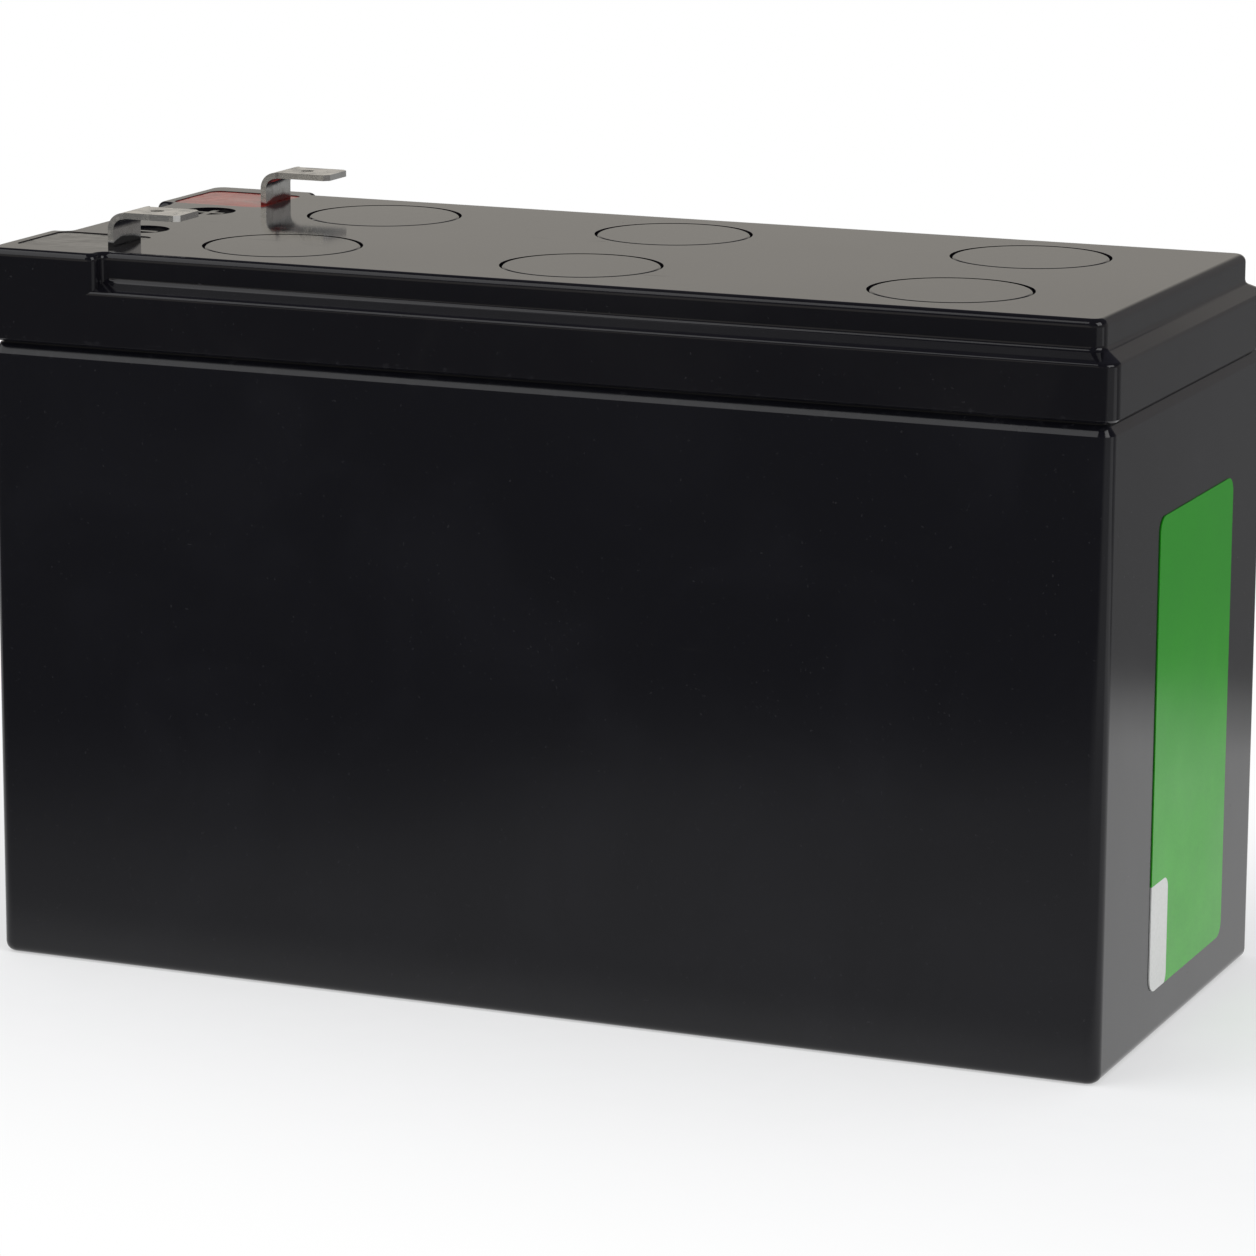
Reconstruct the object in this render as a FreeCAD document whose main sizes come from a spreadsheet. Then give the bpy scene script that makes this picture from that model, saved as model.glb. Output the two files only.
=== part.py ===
# Sealed lead acid battery, 12 volts, six cells in two rows of three.
#
# Frame: the origin is the centre of the base, +Z is up, +X runs along the length to the end that
# carries the label, and the terminals stand near the -X end, the negative one on the -Y side.
# All sizes are millimetres.

import FreeCAD, Part
import Sketcher
import os

OUT = "parts"
ROWS = (-1, 1)
COLUMNS = (-1, 0, 1)

SIZES = (
    ("lid_length", 151.0, "length over the lid"),
    ("lid_width", 65.0, "width over the lid"),
    ("corner_round", 2.2, "radius of the lid's upright corners"),
    ("case_inset", 0.4, "case wall behind the lid's skirt"),
    ("base_round", 1.3, "radius of the case's bottom edge"),
    ("wall", 2.6, "case wall"),
    ("base_plate", 2.6, "case bottom"),
    ("partition", 1.6, "wall between two cells"),
    ("rim_height", 80.75, "height of the case's outer rim"),
    ("rim_bevel_drop", 1.3, "height of the bevel on the rim"),
    ("rim_bevel_depth", 0.9, "depth of the bevel on the rim"),
    ("tongue_setback", 1.2, "tongue behind the case's outer face"),
    ("tongue_height", 4.3, "tongue above the rim"),
    ("seam_height", 0.4, "open seam between rim and skirt"),
    ("joint_clearance", 0.1, "side clearance of tongue and groove"),
    ("lip", 1.2, "lid wall inside the groove"),
    ("skirt_height", 6.95, "upright part of the lid's skirt"),
    ("skirt_round", 0.5, "radius of the skirt's upper edge"),
    ("skirt_foot_bevel", 0.3, "bevel on the skirt's lower edge"),
    ("shoulder_rise", 1.25, "height of the sloped shoulder"),
    ("plateau_rise", 3.65, "height of the plateau above the shoulder"),
    ("plateau_inset", 2.4, "plateau behind the skirt"),
    ("plateau_corner", 1.8, "radius of the plateau's upright corners"),
    ("plateau_foot_round", 0.7, "hollow radius at the plateau's foot"),
    ("top_round", 0.95, "radius round the lid's top"),
    ("step_round", 1.2, "radius of a corner block's outer corners, where it steps in to the plateau"),
    ("step_hollow", 0.8, "hollow radius where a corner block meets the plateau"),
    ("lid_plate", 2.6, "thickness of the lid's top"),
    ("block_end_margin", 0.3, "corner block past its well, along the length"),
    ("block_side_margin", 0.7, "corner block past its well, across the width"),
    ("well_length", 13.6, "terminal well along the length"),
    ("well_width", 13.0, "terminal well across the width"),
    ("well_depth", 6.0, "terminal well"),
    ("well_round", 1.6, "radius of the terminal well's corners"),
    ("well_wall", 1.3, "wall round the terminal well"),
    ("well_bottom", 1.6, "bottom of the terminal well"),
    ("terminal_setback", 10.85, "middle of a terminal from the lid's long side"),
    ("resin_drop", 0.1, "resin below the lid's top"),
    ("mark_diameter", 7.0, "round recess of the polarity mark"),
    ("mark_depth", 0.5, "depth of the polarity recess"),
    ("mark_setback", 12.15, "polarity recess from its terminal, towards the middle"),
    ("mark_shift", 2.0, "polarity recess from its terminal, along the length"),
    ("mark_size", 4.2, "length of the bars of the polarity mark"),
    ("mark_bar", 0.9, "width of the bars of the polarity mark"),
    ("mark_relief", 0.3, "height of the polarity mark"),
    ("vent_shift", 7.3, "vents beside the terminals, towards the middle"),
    ("cover_diameter", 20.1, "vent cover"),
    ("cover_thickness", 1.5, "vent cover"),
    ("cover_gap", 0.25, "side gap round the vent cover"),
    ("vent_bore", 3.0, "vent hole in the bottom of its well"),
    ("vent_well_wall", 1.2, "wall round the square vent well"),
    ("vent_well_bottom", 1.5, "bottom of the vent well"),
    ("valve_diameter", 7.0, "rubber valve"),
    ("valve_thickness", 2.0, "rubber valve"),
    ("valve_gap", 0.3, "side gap between the valve and its well"),
    ("post_diameter", 8.0, "lead post"),
    ("post_clearance", 0.1, "gap round the lead post"),
    ("tab_width", 6.35, "blade of the terminal tab"),
    ("leg_width", 7.4, "leg and foot of the terminal tab"),
    ("tab_thickness", 0.8, "terminal tab"),
    ("tab_rise", 4.4, "top of the tab above the lid"),
    ("tab_reach", 9.8, "tab from the leg's outer face to its tip"),
    ("leg_offset", 5.4, "leg's outer face from the middle of the post"),
    ("foot_length", 10.0, "tab's foot, to the leg's outer face"),
    ("bend_radius", 1.4, "inner radius of the tab's bends"),
    ("tip_cut", 0.7, "cut of the blade's corners at its tip"),
    ("tab_hole", 1.8, "detent hole in the tab"),
    ("tab_hole_setback", 4.6, "detent hole from the tip"),
    ("headroom", 4.1, "lead straps below the case's rim"),
    ("plate_side_gap", 1.8, "plates from the cell wall, at each side"),
    ("positive_plate", 2.8, "thickness of a positive plate"),
    ("negative_plate", 1.7, "thickness of a negative plate"),
    ("least_mat", 1.0, "least thickness of a glass mat, which sets how many plates fit in a cell"),
    ("stack_clearance", 0.1, "stack of plates to the cell wall, at each side"),
    ("mat_overhang", 0.8, "glass mat past the plate, at each side"),
    ("mat_overlap", 1.5, "glass mat above the plate"),
    ("lug_width", 8.0, "lug on top of a plate"),
    ("lug_rise", 4.5, "lug from the plate to the strap"),
    ("strap_height", 4.0, "lead strap"),
    ("strap_margin", 0.5, "strap past the lug, at each side"),
    ("strap_setback", 1.4, "strap's ends from the cell wall"),
    ("link_thickness", 2.6, "upright lug that meets the partition"),
    ("link_width", 9.0, "upright lug that meets the partition"),
    ("link_gap", 1.0, "upright lug below the lid's inner lip"),
    ("weld_width", 6.4, "lead through the partition's window"),
    ("weld_height", 4.6, "lead through the partition's window"),
    ("weld_drop", 1.0, "top of the weld below the upright lug's top"),
    ("weld_clearance", 0.1, "gap round the lead in the window"),
    ("label_width", 30.5, "label"),
    ("label_height", 60.0, "label"),
    ("label_thickness", 0.15, "label"),
    ("label_round", 2.0, "radius of the label's corners"),
    ("label_rise", 6.3, "label above the base"),
    ("label_shift", 3.3, "label's middle from the end face's middle"),
)

# Places that follow from the sizes. Each is worked out in the document, so it moves with them.
PLACES = (
    ("half_length", "Sizes.lid_length / 2"),
    ("half_width", "Sizes.lid_width / 2"),
    ("case_end", "half_length - Sizes.case_inset"),
    ("case_side", "half_width - Sizes.case_inset"),
    ("case_round", "Sizes.corner_round - Sizes.case_inset"),
    ("bevel_foot", "Sizes.rim_height - Sizes.rim_bevel_drop"),
    ("rim_end", "case_end - Sizes.rim_bevel_depth"),
    ("rim_side", "case_side - Sizes.rim_bevel_depth"),
    ("rim_round", "case_round - Sizes.rim_bevel_depth"),
    ("inner_end", "case_end - Sizes.wall"),
    ("inner_side", "case_side - Sizes.wall"),
    ("cell_length", "(2 * inner_end - 2 * Sizes.partition) / 3"),
    ("cell_width", "inner_side - Sizes.partition / 2"),
    ("cell_half_length", "cell_length / 2"),
    ("cell_half_width", "cell_width / 2"),
    ("cell_pitch", "cell_length + Sizes.partition"),
    ("row_offset", "(cell_width + Sizes.partition) / 2"),
    ("tongue_end", "case_end - Sizes.tongue_setback"),
    ("tongue_side", "case_side - Sizes.tongue_setback"),
    ("tongue_round", "case_round - Sizes.tongue_setback"),
    ("tongue_top", "Sizes.rim_height + Sizes.tongue_height"),
    ("skirt_foot", "Sizes.rim_height + Sizes.seam_height"),
    ("groove_end", "tongue_end + Sizes.joint_clearance"),
    ("groove_side", "tongue_side + Sizes.joint_clearance"),
    ("groove_round", "tongue_round + Sizes.joint_clearance"),
    ("shoulder_foot", "skirt_foot + Sizes.skirt_height"),
    ("shoulder_top", "shoulder_foot + Sizes.shoulder_rise"),
    ("lid_top", "shoulder_top + Sizes.plateau_rise"),
    ("plateau_end", "half_length - Sizes.plateau_inset"),
    ("plateau_side", "half_width - Sizes.plateau_inset"),
    ("ceiling", "lid_top - Sizes.lid_plate"),
    ("plate_length", "cell_length - 2 * Sizes.plate_side_gap"),
    ("plate_half_length", "plate_length / 2"),
    ("lug_inner", "plate_half_length - Sizes.lug_width"),
    ("lug_offset", "plate_half_length - Sizes.lug_width / 2"),
    ("post_x", "0 - cell_pitch - lug_offset"),
    ("terminal_y", "half_width - Sizes.terminal_setback"),
    ("post_y", "terminal_y - row_offset"),
    ("mark_x", "post_x + Sizes.mark_shift"),
    ("mark_y", "terminal_y - Sizes.mark_setback"),
    ("well_half_length", "Sizes.well_length / 2"),
    ("well_half_width", "Sizes.well_width / 2"),
    ("block_end", "0 - post_x - well_half_length - Sizes.block_end_margin"),
    ("block_inner", "terminal_y - well_half_width - Sizes.block_side_margin"),
    ("well_floor", "lid_top - Sizes.well_depth"),
    ("well_underside", "well_floor - Sizes.well_bottom"),
    ("resin_top", "lid_top - Sizes.resin_drop"),
    ("mark_half", "Sizes.mark_size / 2"),
    ("mark_bar_half", "Sizes.mark_bar / 2"),
    ("mark_floor", "lid_top - Sizes.mark_depth"),
    ("cover_underside", "lid_top - Sizes.cover_thickness"),
    ("vent_floor", "cover_underside - Sizes.valve_thickness"),
    ("vent_underside", "vent_floor - Sizes.vent_well_bottom"),
    ("vent_well_half", "Sizes.valve_diameter / 2 + Sizes.valve_gap"),
    ("tab_height", "lid_top + Sizes.tab_rise - well_floor"),
    ("tab_half_width", "Sizes.tab_width / 2"),
    ("leg_half_width", "Sizes.leg_width / 2"),
    ("tip_x", "Sizes.leg_offset + Sizes.tab_reach"),
    ("bend_outer", "Sizes.bend_radius + Sizes.tab_thickness"),
    ("blade_start", "Sizes.leg_offset + bend_outer"),
    ("stack_depth", "cell_width - 2 * Sizes.stack_clearance"),
    ("stack_half", "stack_depth / 2"),
    ("positive_count", "floor((stack_depth - Sizes.negative_plate)"
                       " / (Sizes.positive_plate + Sizes.negative_plate + 2 * Sizes.least_mat))"),
    ("negative_count", "positive_count + 1"),
    ("mat_thickness", "(stack_depth - positive_count * Sizes.positive_plate"
                      " - negative_count * Sizes.negative_plate) / (2 * positive_count)"),
    ("plate_pitch", "Sizes.positive_plate + Sizes.negative_plate + 2 * mat_thickness"),
    ("mat_half_length", "plate_half_length + Sizes.mat_overhang"),
    ("plate_foot", "Sizes.base_plate + mat_thickness"),
    ("strap_top", "Sizes.rim_height - Sizes.headroom"),
    ("strap_foot", "strap_top - Sizes.strap_height"),
    ("plate_top", "strap_foot - Sizes.lug_rise"),
    ("mat_top", "plate_top + Sizes.mat_overlap"),
    ("strap_inner", "lug_inner - Sizes.strap_margin"),
    ("strap_outer", "plate_half_length + Sizes.strap_margin"),
    ("strap_half_length", "cell_half_width - Sizes.strap_setback"),
    ("link_half_width", "Sizes.link_width / 2"),
    ("link_top", "skirt_foot - Sizes.link_gap"),
    ("weld_half_width", "Sizes.weld_width / 2"),
    ("weld_top", "link_top - Sizes.weld_drop"),
    ("weld_foot", "weld_top - Sizes.weld_height"),
    ("label_half_width", "Sizes.label_width / 2"),
)

doc = FreeCAD.newDocument("Battery")


def make_sheet():
    """The driving sizes, one in each row: a note, and the value under its own name."""
    sheet = doc.addObject("Spreadsheet::Sheet", "Sizes")
    for row, (alias, value, note) in enumerate(SIZES, start=1):
        sheet.set("A%d" % row, note)
        sheet.set("B%d" % row, str(value))
        sheet.setAlias("B%d" % row, alias)
    doc.recompute()


def make_places():
    """The derived places, each bound to the sheet and to the places before it."""
    places = doc.addObject("App::VarSet", "Places")
    for name, formula in PLACES:
        places.addProperty("App::PropertyFloat", name, "Places", "")
        places.setExpression(name, formula)
    doc.recompute()


def value(formula):
    """The present value of a sum such as "-Places.case_end + Sizes.wall"."""
    total = 0.0
    sign = 1.0
    for word in formula.split():
        if word in ("+", "-"):
            sign = 1.0 if word == "+" else -1.0
            continue
        if word.startswith("-"):
            sign = -sign
            word = word[1:]
        if "." in word and word[0].isalpha():
            holder, name = word.split(".")
            term = float(getattr(doc.getObject(holder), name))
        else:
            term = float(word)
        total += sign * term
        sign = 1.0
    return total


def opposite(formula):
    """The same sum with every sign turned."""
    turned = formula.replace(" + ", " # ").replace(" - ", " + ").replace(" # ", " - ")
    return turned[1:] if turned.startswith("-") else "-" + turned


def signed(direction, formula):
    return formula if direction > 0 else opposite(formula)


def new_body(label):
    body = doc.addObject("PartDesign::Body", label)
    body.Label = label
    return body


def place(body, x=None, y=None, z=None):
    """Binds where the body's own origin stands."""
    for axis, formula in (("x", x), ("y", y), ("z", z)):
        if formula:
            body.setExpression("Placement.Base." + axis, formula)


def origin_part(body, role):
    return [one for one in body.Origin.OriginFeatures if one.Role == role][0]


def new_sketch(body, name, plane="XY_Plane", height=None):
    """A sketch on one of the body's own planes, moved along that plane's normal."""
    sketch = body.newObject("Sketcher::SketchObject", name)
    sketch.AttachmentSupport = [(origin_part(body, plane), "")]
    sketch.MapMode = "FlatFace"
    if height:
        sketch.setExpression("AttachmentOffset.Base.z", height)
    return sketch


def hold(sketch, pairs):
    """Adds constraints, each paired with the formula that its value follows, or None."""
    indices = sketch.addConstraint([constraint for constraint, formula in pairs])
    for index, (constraint, formula) in zip(indices, pairs):
        if formula and formula != "0":
            sketch.setExpression("Constraints[%d]" % index, formula)


def outline(sketch, corners):
    """A closed outline of level and upright sides. A corner is x, y and its radius, or None."""
    count = len(corners)
    points = [FreeCAD.Vector(value(x), value(y), 0) for x, y, radius in corners]
    radii = [value(radius) if radius else 0.0 for x, y, radius in corners]
    aims = [(points[(i + 1) % count] - points[i]).normalize() for i in range(count)]
    first = sketch.GeometryCount
    for i in range(count):
        start = points[i] + aims[i] * radii[i]
        end = points[(i + 1) % count] - aims[i] * radii[(i + 1) % count]
        sketch.addGeometry(Part.LineSegment(start, end), False)
    pairs = []
    for i in range(count):
        side = first + i
        before = first + (i - 1) % count
        level = abs(aims[i].y) < 0.5
        x, y, radius = corners[i]
        pairs.append((Sketcher.Constraint("Horizontal" if level else "Vertical", side), None))
        if level:
            pairs.append((Sketcher.Constraint("DistanceY", -1, 1, side, 1, value(y)), y))
        else:
            pairs.append((Sketcher.Constraint("DistanceX", -1, 1, side, 1, value(x)), x))
        if not radius:
            pairs.append((Sketcher.Constraint("Coincident", before, 2, side, 1), None))
            continue
        centre = points[i] + (aims[i] - aims[i - 1]) * radii[i]
        middle = centre + (points[i] - centre).normalize() * radii[i]
        arc = Part.Arc(points[i] - aims[i - 1] * radii[i], middle, points[i] + aims[i] * radii[i])
        curve = sketch.addGeometry(arc, False)
        turns_left = aims[i - 1].cross(aims[i]).z > 0
        enters, leaves = (1, 2) if turns_left else (2, 1)
        pairs.append((Sketcher.Constraint("Tangent", before, 2, curve, enters), None))
        pairs.append((Sketcher.Constraint("Tangent", side, 1, curve, leaves), None))
        pairs.append((Sketcher.Constraint("Radius", curve, radii[i]), radius))
    hold(sketch, pairs)


def box_outline(sketch, left, right, low, high, radius=None):
    """A rectangle, its corners rounded alike or sharp."""
    outline(sketch, ((left, low, radius), (right, low, radius), (right, high, radius), (left, high, radius)))


def middle_outline(sketch, half_x, half_y, radius=None):
    """A rectangle round the sketch's origin."""
    box_outline(sketch, opposite(half_x), half_x, opposite(half_y), half_y, radius)


def polygon(sketch, corners):
    """A closed outline of straight sides in any direction, each corner held by its x and y."""
    count = len(corners)
    points = [FreeCAD.Vector(value(x), value(y), 0) for x, y in corners]
    first = sketch.GeometryCount
    for i in range(count):
        sketch.addGeometry(Part.LineSegment(points[i], points[(i + 1) % count]), False)
    pairs = []
    for i, (x, y) in enumerate(corners):
        side = first + i
        before = first + (i - 1) % count
        pairs.append((Sketcher.Constraint("Coincident", before, 2, side, 1), None))
        pairs.append((Sketcher.Constraint("DistanceX", -1, 1, side, 1, points[i].x), x))
        pairs.append((Sketcher.Constraint("DistanceY", -1, 1, side, 1, points[i].y), y))
    hold(sketch, pairs)


def circle(sketch, x, y, diameter):
    """A circle held by its middle and its diameter."""
    middle = FreeCAD.Vector(value(x), value(y), 0)
    up = FreeCAD.Vector(0, 0, 1)
    ring = sketch.addGeometry(Part.Circle(middle, up, value(diameter) / 2), False)
    hold(sketch, (
        (Sketcher.Constraint("DistanceX", -1, 1, ring, 3, middle.x), x),
        (Sketcher.Constraint("DistanceY", -1, 1, ring, 3, middle.y), y),
        (Sketcher.Constraint("Diameter", ring, value(diameter)), diameter),
    ))


def extrude(body, kind, name, sketch, length, back=False, both=False):
    """A pad or a pocket of a sketch, recomputed so that what follows can read it."""
    feature = body.newObject("PartDesign::" + kind, name)
    feature.Profile = sketch
    feature.setExpression("Length", length)
    feature.Reversed = back
    # Only a pad leaves faces in one plane that have to be joined.
    feature.Refine = kind == "Pad"
    if both:
        feature.SideType = "Symmetric"
    sketch.Visibility = False
    doc.recompute()
    return feature


def cut(body, name, sketch, length, back=False, both=False):
    """A pocket that must remove something."""
    before = body.Shape.Volume
    feature = extrude(body, "Pocket", name, sketch, length, back, both)
    if body.Shape.Volume > before - 1e-6:
        raise RuntimeError(name + " cuts nothing")
    return feature


def edges_where(shape, test):
    """Names of the edges whose middle and two ends pass the test."""
    names = []
    for index, edge in enumerate(shape.Edges, start=1):
        middle = edge.valueAt((edge.FirstParameter + edge.LastParameter) / 2)
        ends = [vertex.Point for vertex in edge.Vertexes]
        if all(test(point) for point in [middle] + ends):
            names.append("Edge%d" % index)
    return names


def round_edges(body, name, test, radius):
    """A fillet on the edges that pass the test."""
    base = body.Tip
    feature = body.newObject("PartDesign::Fillet", name)
    feature.Base = (base, edges_where(base.Shape, test))
    feature.setExpression("Radius", radius)
    doc.recompute()
    return feature


def bevel_edges(body, name, test, size):
    """An even bevel on the edges that pass the test."""
    base = body.Tip
    feature = body.newObject("PartDesign::Chamfer", name)
    feature.Base = (base, edges_where(base.Shape, test))
    feature.setExpression("Size", size)
    doc.recompute()
    return feature


def loft(body, name, low, high):
    """A straight-sided transition between two outlines."""
    feature = body.newObject("PartDesign::AdditiveLoft", name)
    feature.Profile = low
    feature.Sections = [high]
    feature.Ruled = True
    doc.recompute()
    return feature


def at_height(formula):
    """A test that keeps what lies at one height."""
    height = value(formula)
    return lambda point: abs(point.z - height) < 1e-4


def each_cell():
    """Every cell, in the order of the current: near row to the right, far row back."""
    for column in COLUMNS:
        yield ROWS[0], column
    for column in reversed(COLUMNS):
        yield ROWS[1], column


def column_x(column):
    """The middle of a column of cells, as a formula."""
    return {-1: "-Places.cell_pitch", 0: "0", 1: "Places.cell_pitch"}[column]


def vent_x(column):
    """The middle of a column of vents. Those beside the terminals stand nearer the middle."""
    return "-Places.cell_pitch + Sizes.vent_shift" if column == -1 else column_x(column)


def opposite_tail(formula):
    """A sum as the end of a longer one, taken away from it."""
    return " - " + formula.replace(" + ", " - ")


def cell_sides(row, column, margin):
    """Left, right, low and high side of a cell, each drawn in by a margin."""
    x = column_x(column)
    y = signed(row, "Places.row_offset")
    return (
        x + " - Places.cell_half_length + " + margin,
        x + " + Places.cell_half_length" + opposite_tail(margin),
        y + " - Places.cell_half_width + " + margin,
        y + " + Places.cell_half_width" + opposite_tail(margin),
    )


def make_case():
    """The container: bevelled rim, tongue for the lid, and six cells with their partitions."""
    body = new_body("case")
    sketch = new_sketch(body, "CaseOutline")
    middle_outline(sketch, "Places.case_end", "Places.case_side", "Places.case_round")
    extrude(body, "Pad", "CaseWall", sketch, "Places.bevel_foot")
    round_edges(body, "BaseRound", at_height("0"), "Sizes.base_round")

    low = new_sketch(body, "BevelFoot", height="Places.bevel_foot")
    middle_outline(low, "Places.case_end", "Places.case_side", "Places.case_round")
    high = new_sketch(body, "BevelTop", height="Sizes.rim_height")
    middle_outline(high, "Places.rim_end", "Places.rim_side", "Places.rim_round")
    loft(body, "RimBevel", low, high)

    sketch = new_sketch(body, "TongueOutline", height="Places.bevel_foot")
    middle_outline(sketch, "Places.tongue_end", "Places.tongue_side", "Places.tongue_round")
    extrude(body, "Pad", "Tongue", sketch, "Places.tongue_top - Places.bevel_foot")

    sketch = new_sketch(body, "CellOutlines", height="Places.tongue_top")
    for row, column in each_cell():
        box_outline(sketch, *cell_sides(row, column, "0"))
    cut(body, "Cells", sketch, "Places.tongue_top - Sizes.base_plate")

    sketch = new_sketch(body, "RowWindows", "YZ_Plane")
    for row in ROWS:
        weld_outline(sketch, signed(row, "Places.row_offset"), "Sizes.weld_clearance")
    cut(body, "RowWindow", sketch, "Places.cell_length + 2 * Sizes.partition", both=True)
    sketch = new_sketch(body, "CrossWindow", "XZ_Plane")
    weld_outline(sketch, "Places.cell_pitch + Places.lug_offset", "Sizes.weld_clearance")
    cut(body, "CrossWindowCut", sketch, "Sizes.partition", both=True)
    return body


def weld_outline(sketch, middle, margin):
    """The lead weld in a partition seen end on, or its window when there is a margin."""
    box_outline(sketch, middle + " - Places.weld_half_width - " + margin,
                middle + " + Places.weld_half_width + " + margin,
                "Places.weld_foot - " + margin, "Places.weld_top + " + margin)


def block_outline(sketch, row):
    """A corner block's outline: flush with the skirt, and run on into the plateau."""
    step = "Sizes.step_round"
    inside = "-Places.block_end + Sizes.step_round + Sizes.step_round"
    corners = [
        ("-Places.half_length", signed(row, "Places.half_width"), "Sizes.corner_round"),
        ("-Places.block_end", signed(row, "Places.half_width"), step),
        ("-Places.block_end", signed(row, "Places.plateau_side"), "Sizes.step_hollow"),
        (inside, signed(row, "Places.plateau_side"), None),
        (inside, signed(row, "Places.block_inner - Sizes.step_round - Sizes.step_round"), None),
        ("-Places.plateau_end", signed(row, "Places.block_inner - Sizes.step_round - Sizes.step_round"), None),
        ("-Places.plateau_end", signed(row, "Places.block_inner"), "Sizes.step_hollow"),
        ("-Places.half_length", signed(row, "Places.block_inner"), step),
    ]
    outline(sketch, corners)


def make_lid():
    """The lid: grooved skirt, sloped shoulder, plateau, corner blocks, and wells hung in a hollow."""
    body = new_body("lid")
    sketch = new_sketch(body, "SkirtOutline", height="Places.skirt_foot")
    middle_outline(sketch, "Places.half_length", "Places.half_width", "Sizes.corner_round")
    extrude(body, "Pad", "Skirt", sketch, "Sizes.skirt_height")

    low = new_sketch(body, "ShoulderFoot", height="Places.shoulder_foot")
    middle_outline(low, "Places.half_length", "Places.half_width", "Sizes.corner_round")
    high = new_sketch(body, "ShoulderTop", height="Places.shoulder_top")
    middle_outline(high, "Places.plateau_end", "Places.plateau_side", "Sizes.plateau_corner")
    loft(body, "Shoulder", low, high)

    sketch = new_sketch(body, "PlateauOutline", height="Places.shoulder_foot")
    middle_outline(sketch, "Places.plateau_end", "Places.plateau_side", "Sizes.plateau_corner")
    extrude(body, "Pad", "Plateau", sketch, "Places.lid_top - Places.shoulder_foot")
    round_edges(body, "PlateauFoot", at_height("Places.shoulder_top"), "Sizes.plateau_foot_round")
    round_edges(body, "SkirtEdge", at_height("Places.shoulder_foot"), "Sizes.skirt_round")
    bevel_edges(body, "SkirtFoot", at_height("Places.skirt_foot"), "Sizes.skirt_foot_bevel")

    for row in ROWS:
        side = "Near" if row < 0 else "Far"
        sketch = new_sketch(body, side + "BlockOutline", height="Places.shoulder_foot - Sizes.skirt_round")
        block_outline(sketch, row)
        extrude(body, "Pad", side + "Block", sketch,
                "Places.lid_top - Places.shoulder_foot + Sizes.skirt_round")
    round_edges(body, "TopEdge", at_height("Places.lid_top"), "Sizes.top_round")

    sketch = new_sketch(body, "HollowOutlines", height="Places.skirt_foot")
    for row, column in each_cell():
        box_outline(sketch, *cell_sides(row, column, "Sizes.joint_clearance + Sizes.lip"))
    cut(body, "Hollow", sketch, "Places.ceiling - Places.skirt_foot", back=True)
    make_cups(body)
    sketch = new_sketch(body, "GrooveOutline", height="Places.skirt_foot")
    middle_outline(sketch, "Places.groove_end", "Places.groove_side", "Places.groove_round")
    for row, column in each_cell():
        box_outline(sketch, *cell_sides(row, column, "Sizes.joint_clearance"))
    cut(body, "Groove", sketch, "Places.tongue_top - Places.skirt_foot", back=True)

    make_vent_wells(body)
    make_terminal_wells(body)
    make_marks(body)
    return body


def make_cups(body):
    """Square cups that hang in the lid's hollow, round each vent well and each terminal well."""
    sketch = new_sketch(body, "VentCups", height="Places.vent_underside")
    for row, column in each_cell():
        vent_square(sketch, row, column, "Places.vent_well_half + Sizes.vent_well_wall")
    extrude(body, "Pad", "VentCup", sketch, "Places.ceiling - Places.vent_underside")
    sketch = new_sketch(body, "TerminalCups", height="Places.well_underside")
    for row in ROWS:
        well_outline(sketch, row, "Sizes.well_wall", "Sizes.well_round")
    extrude(body, "Pad", "TerminalCup", sketch, "Places.ceiling - Places.well_underside")


def vent_square(sketch, row, column, half):
    """A square outline round a vent's middle."""
    x = vent_x(column)
    y = signed(row, "Places.row_offset")
    box_outline(sketch, x + opposite_tail(half), x + " + " + half, y + opposite_tail(half), y + " + " + half)


def vent_circle(sketch, row, column, diameter):
    """A circle round a vent's middle."""
    circle(sketch, vent_x(column), signed(row, "Places.row_offset"), diameter)


def make_vent_wells(body):
    """Each vent's round seat for its cover, its square well, and its hole into the cell."""
    sketch = new_sketch(body, "CoverSeats", height="Places.lid_top")
    for row, column in each_cell():
        vent_circle(sketch, row, column, "Sizes.cover_diameter + Sizes.cover_gap + Sizes.cover_gap")
    cut(body, "CoverSeat", sketch, "Sizes.cover_thickness")
    sketch = new_sketch(body, "VentWells", height="Places.lid_top")
    for row, column in each_cell():
        vent_square(sketch, row, column, "Places.vent_well_half")
    cut(body, "VentWell", sketch, "Places.lid_top - Places.vent_floor")
    sketch = new_sketch(body, "VentBores", height="Places.vent_floor")
    for row, column in each_cell():
        vent_circle(sketch, row, column, "Sizes.vent_bore")
    cut(body, "VentBore", sketch, "Sizes.vent_well_bottom")


def well_outline(sketch, row, margin, radius):
    """A terminal well's outline, widened by a margin."""
    y = signed(row, "Places.terminal_y")
    box_outline(
        sketch,
        "Places.post_x - Places.well_half_length - " + margin,
        "Places.post_x + Places.well_half_length + " + margin,
        y + " - Places.well_half_width - " + margin,
        y + " + Places.well_half_width + " + margin,
        radius,
    )


def make_terminal_wells(body):
    """Two square wells for the terminals, each with a hole for the lead post."""
    sketch = new_sketch(body, "TerminalWells", height="Places.lid_top")
    for row in ROWS:
        well_outline(sketch, row, "0", "Sizes.well_round")
    cut(body, "TerminalWell", sketch, "Sizes.well_depth")
    sketch = new_sketch(body, "PostHoles", height="Places.well_floor")
    for row in ROWS:
        circle(sketch, "Places.post_x", signed(row, "Places.terminal_y"),
               "Sizes.post_diameter + Sizes.post_clearance + Sizes.post_clearance")
    cut(body, "PostHole", sketch, "Sizes.well_bottom")


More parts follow.
